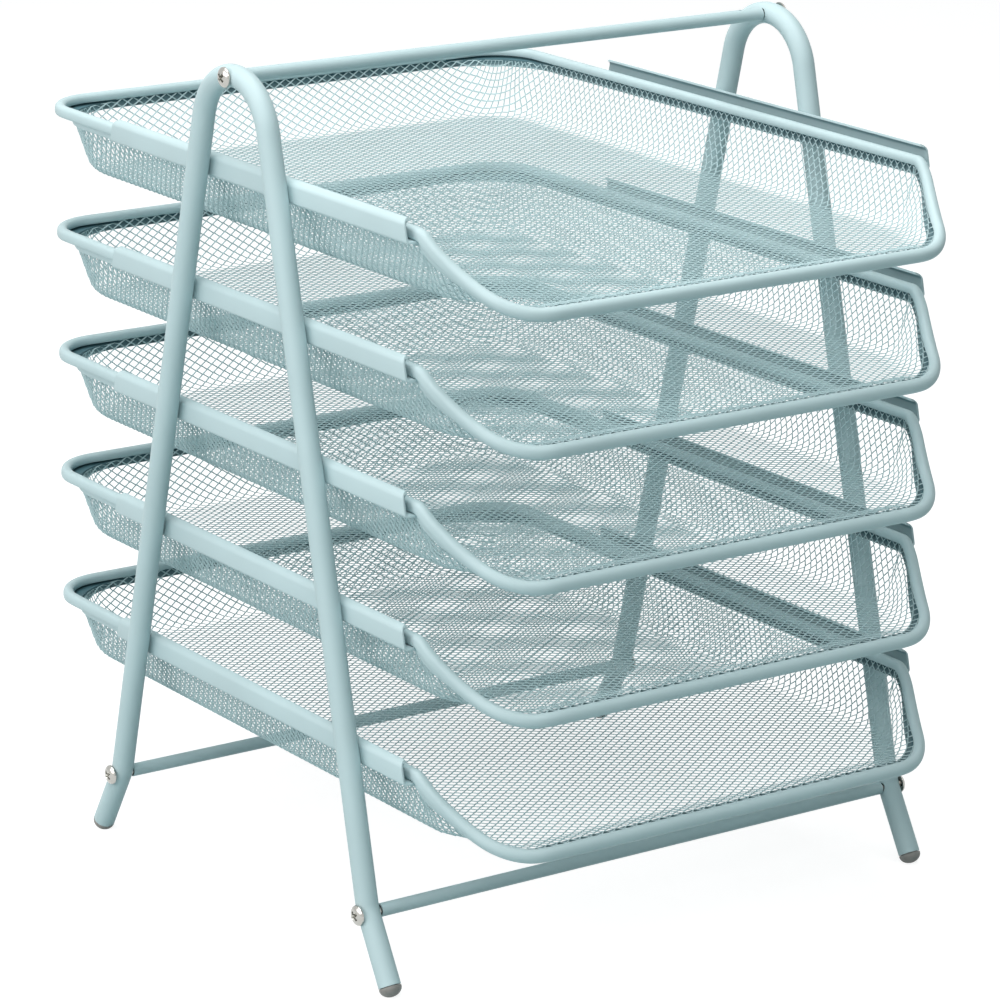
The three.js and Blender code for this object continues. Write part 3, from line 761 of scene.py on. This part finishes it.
def rim_plan():
    """Right half of a rim in plan, from the rear: x, y, heading and run past where the mouth starts."""
    f, t = frame_sizes(), tray_sizes()
    rim_x = rim_place()
    back_y = t.tray_back - t.rim_width / 2
    lip_y = t.lip_front + t.rim_height / 2
    corner = t.back_corner - t.rim_width / 2
    easing = t.pan_corner - corner
    back = arc((rim_x - corner, back_y - corner), corner, QUARTER, 0, 16)
    steps = 6
    approach = [(back[0][0] - easing * (1 - i / steps), back_y, QUARTER) for i in range(steps)]
    departure = [(rim_x, back[-1][1] - easing * (i + 1) / steps, 0) for i in range(steps)]
    rear = [(x, y, a, -1.0) for x, y, a in [*approach, *back, *departure]]
    mouth_y = f.rail_front - t.mouth_set_off
    mouth_tangent = t.mouth_radius * tan(t.mouth_turn / 2)
    mouth = arc((rim_x - t.mouth_radius, mouth_y + mouth_tangent), t.mouth_radius, 0, -t.mouth_turn, 10)
    mouth = [(x, y, a, -t.mouth_radius * a) for x, y, a in mouth]
    lip_tangent = t.lip_corner * tan((QUARTER - t.mouth_turn) / 2)
    lip_x = rim_x - (mouth_y - lip_y) * tan(t.mouth_turn)
    lip = arc((lip_x - lip_tangent, lip_y + t.lip_corner), t.lip_corner, -t.mouth_turn, -QUARTER, 18)
    start, finish = mouth[-1], lip[0]
    slope_length = hypot(finish[0] - start[0], finish[1] - start[1])
    steps = 10
    slope = [(mix(start[0], finish[0], i / steps), mix(start[1], finish[1], i / steps), -t.mouth_turn,
              start[3] + slope_length * i / steps) for i in range(1, steps)]
    offset = start[3] + slope_length - t.lip_corner * t.mouth_turn
    lip = [(x, y, a, offset - t.lip_corner * a) for x, y, a in lip]
    return [*rear, *mouth, *slope, *lip]


def corner_inset(edge, out):
    """How far the mesh runs inside the rim where it turns a rear corner less tightly."""
    t = tray_sizes()
    inset = t.rim_width / 2 - t.mesh_inset
    reach_x = abs(edge.x) - (rim_place() - inset - t.pan_corner)
    reach_y = edge.y - (t.tray_back - t.rim_width / 2 - inset - t.pan_corner)
    if reach_x <= 0 or reach_y <= 0:
        return 0
    ahead = reach_x * abs(out.x) + reach_y * out.y
    return ahead - sqrt(ahead ** 2 - reach_x ** 2 - reach_y ** 2 + t.pan_corner ** 2)


def rim_loop():
    """Stations round a whole rim, each with the section's axes, for rails at height zero."""
    f, t = frame_sizes(), tray_sizes()
    drop_shape = 1.8
    half = rim_plan()
    run_end = half[-1][3]
    ride = f.rail_sheet + f.seat_gap + t.rim_height / 2
    drop_start = t.mouth_radius * tan(t.mouth_turn / 2) - t.mouth_set_off + t.drop_ease
    right = []
    for x, y, heading, run in half:
        past = run - drop_start
        eased = past if past > t.drop_ease else max(0, past + t.drop_ease) ** 2 / (4 * t.drop_ease)
        left = 1 - min(eased / t.drop_run, 1)
        height = ride - t.lip_drop * (1 - left ** drop_shape)
        out = Vector((cos(heading), sin(heading), 0))
        right.append((Vector((x, y, height)), out, smoothstep(run / run_end)))
    flip = Matrix.Diagonal((-1, 1, 1))
    loop = right + [(flip @ place, flip @ out, share) for place, out, share in reversed(right)]
    loop = [SimpleNamespace(place=place, out=out, turned=share) for place, out, share in loop]
    for i, s in enumerate(loop):
        before, after = loop[i - 1].place, loop[(i + 1) % len(loop)].place
        along = ((s.place - before).normalized() + (after - s.place).normalized()).normalized()
        up = -s.out.cross(along).normalized()
        tilt = s.turned * QUARTER
        s.across = s.out * cos(tilt) - up * sin(tilt)
        s.rise = up * cos(tilt) + s.out * sin(tilt)
        s.width = mix(t.rim_width, t.lip_height, s.turned)
        under = t.rim_height / 2 + f.seat_gap
        s.edge = s.place + s.across * (t.mesh_inset - s.width / 2) - s.rise * under
        s.inset = corner_inset(s.edge, s.out)
    return loop


def bow(start, end, lean):
    """Three points on a face that bows out to the right of the way between two others."""
    x, y = end[0] - start[0], end[1] - start[1]
    rise = tan(lean / 2) / 2
    heights = [(share, 4 * share * (1 - share) * rise) for share in (0.25, 0.5, 0.75)]
    return [(start[0] + share * x + height * y, start[1] + share * y - height * x)
            for share, height in heights]


def rim_section(station):
    """Outline of the bead with its hem, across and up from the bead's centre."""
    f, t = frame_sizes(), tray_sizes()
    side, top = station.width / 2, t.rim_height / 2
    inner_wall = t.groove_wall - side
    outer_wall = inner_wall + t.groove_width
    mesh_gap, tip = 0.1 * MM, 0.3 * MM
    clinch = t.mesh_inset - side + t.strand_sheet / 2 + mesh_gap
    # The hem steps in with the mesh where a corner needs it
    shift, thick, reach = station.inset, t.hem_sheet, t.hem_length + f.seat_gap
    straight = reach - t.hem_clinch
    hem = [(outer_wall, 0), (outer_wall - shift, 0), (outer_wall - shift, straight),
           (clinch - shift, reach - tip), (clinch - shift, reach), (clinch + thick - shift, reach),
           (outer_wall + thick - shift, straight + tip), (outer_wall + thick - shift, thick),
           (outer_wall + thick, thick), (outer_wall + thick, 0)]
    hem = [(across, -top - depth) for across, depth in hem]
    crown, edge, lean = mix(t.rim_crown, t.lip_crown, station.turned), t.rim_edge, t.rim_bow
    lower = arc((side - edge, edge - top), edge, -QUARTER, -lean, 5)
    outer = arc((side - crown, top - crown), crown, lean, QUARTER - lean, 8)
    inner = arc((crown - side, top - crown), crown, QUARTER + lean, pi - lean, 8)
    # The lower inner edge turns under until it meets the groove
    turn = t.rim_turn
    meets = pi + acos((turn - t.groove_wall) / turn)
    under = arc((turn - side, turn - top), turn, pi + lean, meets, 6)
    groove = [(inner_wall, t.groove_depth - top), (outer_wall, t.groove_depth - top)]
    points = [p[:2] for p in lower]
    for following in (outer, inner, under):
        points += bow(points[-1], following[0], lean)
        points += [p[:2] for p in following]
    return [*hem, *points, *groove]


class ORGANIZER_OT_tray_rims(Operator):
    """Fold a rim for each tray: a bead that rides on the rails and drops to a low lip at the front"""

    bl_idname = "organizer.tray_rims"
    bl_label = "Tray Rims"

    def execute(self, context):
        rings = [[s.place + s.across * a + s.rise * b for a, b in rim_section(s)] for s in rim_loop()]
        count = len(rings[0])
        # Painted shade inside the groove and down the hem's inner face, darkening them as if in the
        # bead's shade
        recess = {count - 2: 1.0, count - 1: 1.0, 0: 1.0, 1: 0.95, 2: 0.7, 3: 0.7}
        rim = sweep("rim", rings, closed=True, recess=recess)
        smooth(rim, 40)
        fill_trays(rim, "rim_bead", powder(), "tray_rim")
        return {"FINISHED"}


class PressedPan:
    """The tray's shape as a press: it takes a flat sheet and lays it on the floor and up the walls."""

    def __init__(self):
        t = tray_sizes()
        stations = rim_loop()
        self.floor = t.pan_sheet / 2 - t.pan_depth
        self.side_reach = self.foot_reach(min(stations, key=lambda s: abs(s.place.y)), t.wall_lean)
        self.lip_reach = self.foot_reach(max(stations, key=lambda s: s.turned), QUARTER - t.lip_slope)
        self.sections = [self.section(s) for s in stations]
        self.feet = np.array([points[0][:2] for _, points in self.sections])
        self.rays = np.array([[s.out.x, s.out.y] for s in stations])
        self.tops = np.array([lengths[-1] for lengths, _ in self.sections])

    def down_hem(self, s, drop):
        return s.edge - s.rise * drop - s.across * s.inset

    def foot_reach(self, s, slant):
        """How far inside the rim's centre a slanting wall meets the floor, in plan."""
        leave = self.down_hem(s, tray_sizes().hem_length + frame_sizes().seat_gap)
        return (s.place - leave).dot(s.out) + (leave.z - self.floor) * tan(slant)

    def section(self, s):
        """Middle of the sheet under a station, from floor to top edge, with its running length."""
        f, t = frame_sizes(), tray_sizes()
        # The edge is in the groove, but ends at the hem where a corner takes the mesh further in
        tip_gap, fade = 0.4 * MM, 0.1 * MM
        top = self.down_hem(s, (tip_gap - f.seat_gap - t.groove_depth) * max(0, 1 - s.inset / fade))
        leave = self.down_hem(s, t.hem_length + f.seat_gap)
        slant = mix(t.wall_lean, QUARTER - t.lip_slope, s.turned)
        foot = s.place - s.out * (mix(self.side_reach, self.lip_reach, s.turned) + s.inset)
        foot.z = self.floor
        wall = leave - foot
        longest = 0.9 * wall.length
        tangent = min(t.floor_round * tan((QUARTER - slant) / 2), longest)
        start, end = foot - s.out * tangent, foot + wall.normalized() * tangent
        steps = 12
        curve = [start.lerp(foot, i / steps).lerp(foot.lerp(end, i / steps), i / steps)
                 for i in range(steps + 1)]
        points = np.array([*curve, leave, top])
        lengths = np.concatenate([[0], np.cumsum(np.linalg.norm(np.diff(points, axis=0), axis=1))])
        return lengths, points

    def locate(self, flat):
        """The station before each flat point, its share on to the next and its reach past the floor."""
        span, share, reach = np.full(len(flat), -1), np.zeros(len(flat)), np.full(len(flat), np.inf)
        slack = 1e-6

        def cross(a, b):
            return a[..., 0] * b[..., 1] - a[..., 1] * b[..., 0]

        for i, (foot, ray) in enumerate(zip(self.feet, self.rays)):
            following = (i + 1) % len(self.feet)
            step, turn = self.feet[following] - foot, self.rays[following] - ray
            offset = flat - foot
            a = -cross(step, turn)
            b = cross(offset, turn) - cross(step, ray)
            c = cross(offset, ray)
            root = np.sqrt(np.maximum(b * b - 4 * a * c, 0))
            for sign in (1, -1):
                below = -b + sign * root
                with np.errstate(divide="ignore", invalid="ignore"):
                    t = 2 * c / below
                    way = ray + t[:, None] * turn
                    out = ((offset - t[:, None] * step) * way).sum(1) / (way ** 2).sum(1)
                found = (t > -slack) & (t < 1 + slack) & (out >= 0) & (out < reach)
                span[found], share[found], reach[found] = i, np.clip(t[found], 0, 1), out[found]
        return span, share, reach

    def press(self, flat):
        """Where the flat points lie on the pressed sheet."""
        span, share, reach = self.locate(flat)
        spots = np.column_stack([flat, np.full(len(flat), self.floor)])
        for i in range(len(self.sections)):
            chosen = span == i
            if not chosen.any():
                continue
            ends = [self.sections[i], self.sections[(i + 1) % len(self.sections)]]
            here, there = [np.column_stack([np.interp(reach[chosen], run, axis) for axis in points.T])
                           for run, points in ends]
            spots[chosen] = here + (there - here) * share[chosen, None]
        return spots

    def inside(self, flat):
        """Whether the diamonds round the flat points are on the sheet, or up to half past its edge."""
        span, share, reach = self.locate(flat)
        top = mix(self.tops[span], self.tops[(span + 1) % len(self.tops)], share)
        margin = 0.45 * tray_sizes().long_way
        return (span < 0) | (reach < top + margin)


class ORGANIZER_OT_tray_meshes(Operator):
    """Slit and stretch a sheet into diamond mesh, then press it to the tray's shape"""

    bl_idname = "organizer.tray_meshes"
    bl_label = "Tray Meshes"

    def flat_mesh(self, pan):
        """Diamonds of strands in the flat, as far as the pressed sheet needs them."""
        t = tray_sizes()
        reach = np.abs(pan.feet).max(0) + pan.tops.max() + t.long_way
        count = 2 * ceil(reach[0] / t.long_way + reach[1] / t.short_way) + 2
        start_clean()
        bpy.ops.mesh.primitive_grid_add(x_subdivisions=count, y_subdivisions=count, size=count)
        sheet = bpy.context.object
        sheet.name = sheet.data.name = "expanded_sheet"
        # Turn and stretch the squares to diamonds round the middle of the tray
        middle = (pan.feet[:, 1].max() + pan.feet[:, 1].min()) / 2
        half_x, half_y = t.long_way / 2, t.short_way / 2
        sheet.data.transform(Matrix(((half_x, -half_x, 0, 0), (half_y, half_y, 0, middle),
                                     (0, 0, 1, 0), (0, 0, 0, 1))))
        centres = np.array([face.center[:2] for face in sheet.data.polygons])
        near = (np.abs(centres - (0, middle)) < reach).all(1)
        keep = np.zeros(len(centres), bool)
        keep[near] = pan.inside(centres[near])
        edit(sheet)
        pick(sheet, "faces", lambda face: not keep[face.index])
        bpy.ops.mesh.delete(type="FACE")
        bpy.ops.mesh.select_all(action="SELECT")
        bpy.ops.mesh.bevel(offset=t.strand / 2, affect="EDGES", segments=1)
        # What is larger than a third of a diamond is an opening
        strand_limit = 0.35 * t.long_way * t.short_way / 2
        pick(sheet, "faces", lambda face: face.calc_area() > strand_limit)
        bpy.ops.mesh.delete(type="ONLY_FACE")
        start_clean()
        return sheet, middle

    def execute(self, context):
        t = tray_sizes()
        pan = PressedPan()
        sheet, middle = self.flat_mesh(pan)
        flat = np.empty(len(sheet.data.vertices) * 3)
        sheet.data.vertices.foreach_get("co", flat)
        flat = flat.reshape(-1, 3)[:, :2]
        # Each vertex belongs to the bond where four strands meet, which is longer than wide
        bond_stretch = 1.35
        across, along = flat[:, 0] / (t.long_way / 2), (flat[:, 1] - middle) / (t.short_way / 2)
        first, second = np.round((along + across) / 2), np.round((along - across) / 2)
        bond = np.column_stack([(first - second) * t.long_way / 2,
                                middle + (first + second) * t.short_way / 2])
        offset = flat - bond
        offset[:, 0] *= bond_stretch
        stretched = bond + offset
        lift = -np.clip(offset[:, 1] / (t.strand / 2), -1, 1) * t.strand_tilt
        # The sheet's normal, from points a short step away
        step = 0.2 * MM
        side = pan.press(stretched + (step, 0)) - pan.press(stretched - (step, 0))
        ahead = pan.press(stretched + (0, step)) - pan.press(stretched - (0, step))
        normal = np.cross(side, ahead)
        size, least = np.linalg.norm(normal, axis=1, keepdims=True), step ** 2 / 4
        normal = np.where(size > least, normal / np.maximum(size, least), 0)
        spots = pan.press(stretched) + normal * lift[:, None]
        sheet.data.vertices.foreach_set("co", spots.ravel())
        sheet.data.update()
        modifier = sheet.modifiers.new("sheet thickness", "SOLIDIFY")
        modifier.thickness = t.strand_sheet
        modifier.offset = 0
        apply_modifiers(sheet)
        coat = finish_in(powder_coat, "powder-coated expanded steel", finishes().mesh)
        fill_trays(sheet, "mesh_pan", coat, "tray_mesh")
        return {"FINISHED"}


class ORGANIZER_OT_stage(Operator):
    """Set up the pale floor, the soft studio light and the camera"""

    bl_idname = "organizer.stage"
    bl_label = "Stage"

    AIM = Vector((0, 0, 0.2))
    # Each lamp's name, place, size, power and colour
    LAMPS = (
        ("key_softbox", (-2.5, 0.15, 1.2), (2.4, 1.4), 37, (1, 0.89, 0.885)),
        ("top_softbox", (-0.3, 0.0, 2.4), (1.8, 1.8), 52, (1, 0.99, 0.99)),
        ("front_softbox", (-1.5, -1.8, 1.9), (1.6, 1.2), 25, (1, 0.985, 0.985)),
    )

    def seen_or_lit(self, add, seen, lit):
        """One shader for rays from the camera, a reflection or glass, one for light on the object."""
        rays = add("LightPath").outputs
        share = rays["Is Camera Ray"]
        for ray in ("Is Glossy Ray", "Is Transmission Ray"):
            share = add("Math", {"operation": "MAXIMUM"}, {0: share, 1: rays[ray]})
        return add("MixShader", links={0: share, 1: lit, 2: seen})

    def floor(self):
        start_clean()
        bpy.ops.mesh.primitive_plane_add(size=14)
        floor = bpy.context.object
        floor.name = floor.data.name = "pale_floor"
        material = new_material("pale studio paper")
        add = partial(add_node, material)
        matt = add("BsdfDiffuse", {"Color": linear("#a8bcbe")})
        # Seen directly it is nearly white, and a little of it takes light, to keep the object's shadow
        white = add("Emission", {"Color": (1, 1, 1, 1), "Strength": 0.88})
        dim = add("BsdfDiffuse", {"Color": (0.3, 0.3, 0.3, 1)})
        shown = add("AddShader", links={0: white, 1: dim})
        add("OutputMaterial", links={"Surface": self.seen_or_lit(add, shown, matt)})
        floor.data.materials.append(material)

    def world(self, context):
        world = bpy.data.worlds.new("white studio")
        context.scene.world = world
        world.use_nodes = True
        world.node_tree.nodes.clear()
        add = partial(add_node, world)
        soft = add("Background", {"Color": linear("#d0ffff"), "Strength": 0.08})
        white = add("Background", {"Color": (1, 1, 1, 1), "Strength": 1})
        add("OutputWorld", links={"Surface": self.seen_or_lit(add, white, soft)})

    def lamps(self):
        """Soft boxes, each turned to the middle of the object."""
        for name, spot, size, power, tint in self.LAMPS:
            start_clean()
            aim = (self.AIM - Vector(spot)).to_track_quat("-Z", "Y").to_euler()
            bpy.ops.object.light_add(type="AREA", location=spot, rotation=aim)
            lamp = bpy.context.object
            lamp.name = name
            lamp.data.shape = "RECTANGLE"
            lamp.data.size, lamp.data.size_y = size
            lamp.data.energy = power
            lamp.data.color = tint

    def camera(self, context):
        stage = context.scene.organizer_stage
        start_clean()
        bpy.ops.object.camera_add()
        camera = bpy.context.object
        place = Matrix.Translation(stage.eye)
        for turn, axis in (-stage.yaw, "Z"), (QUARTER - stage.pitch, "X"), (stage.roll, "Z"):
            place @= Matrix.Rotation(turn, 4, axis)
        camera.matrix_world = place
        camera.data.sensor_width = 36
        camera.data.lens = camera.data.sensor_width * stage.focal
        camera.data.shift_x = 0.5 - stage.centre_x
        camera.data.shift_y = stage.centre_y - 0.5
        context.scene.camera = camera

    def execute(self, context):
        self.floor()
        self.world(context)
        self.lamps()
        self.camera(context)
        context.scene.view_settings.view_transform = "Standard"
        return {"FINISHED"}


class ORGANIZER_PT_panel(Panel):
    """Lists the pieces of the organizer in the 3D view's sidebar"""

    bl_label = "Paper Tray Organizer"
    bl_idname = "ORGANIZER_PT_panel"
    bl_space_type = "VIEW_3D"
    bl_region_type = "UI"
    bl_category = "Organizer"

    def draw(self, context):
        for operator in OPERATORS:
            self.layout.operator(operator.bl_idname)
        for group, cls in GROUPS.items():
            box = self.layout.box()
            for name in cls.__annotations__:
                box.prop(getattr(context.scene, group), name)


GROUPS = {
    "organizer_frame": OrganizerFrameSizes,
    "organizer_tray": OrganizerTraySizes,
    "organizer_finishes": OrganizerFinishes,
    "organizer_stage": OrganizerStage,
}
OPERATORS = [
    ORGANIZER_OT_side_frames,
    ORGANIZER_OT_foot_plugs,
    ORGANIZER_OT_cross_bars,
    ORGANIZER_OT_inserts,
    ORGANIZER_OT_screws,
    ORGANIZER_OT_rails,
    ORGANIZER_OT_tray_rims,
    ORGANIZER_OT_tray_meshes,
    ORGANIZER_OT_stage,
]


def register():
    for cls in [*GROUPS.values(), *OPERATORS, ORGANIZER_PT_panel]:
        bpy.utils.register_class(cls)
    for name, cls in GROUPS.items():
        setattr(bpy.types.Scene, name, PointerProperty(type=cls))


def unregister():
    for name in GROUPS:
        delattr(bpy.types.Scene, name)
    for cls in reversed([*GROUPS.values(), *OPERATORS, ORGANIZER_PT_panel]):
        bpy.utils.unregister_class(cls)


def main():
    register()
    for operator in OPERATORS:
        family, name = operator.bl_idname.split(".")
        getattr(getattr(bpy.ops, family), name)()
    start_clean()


if __name__ == "__main__":
    main()
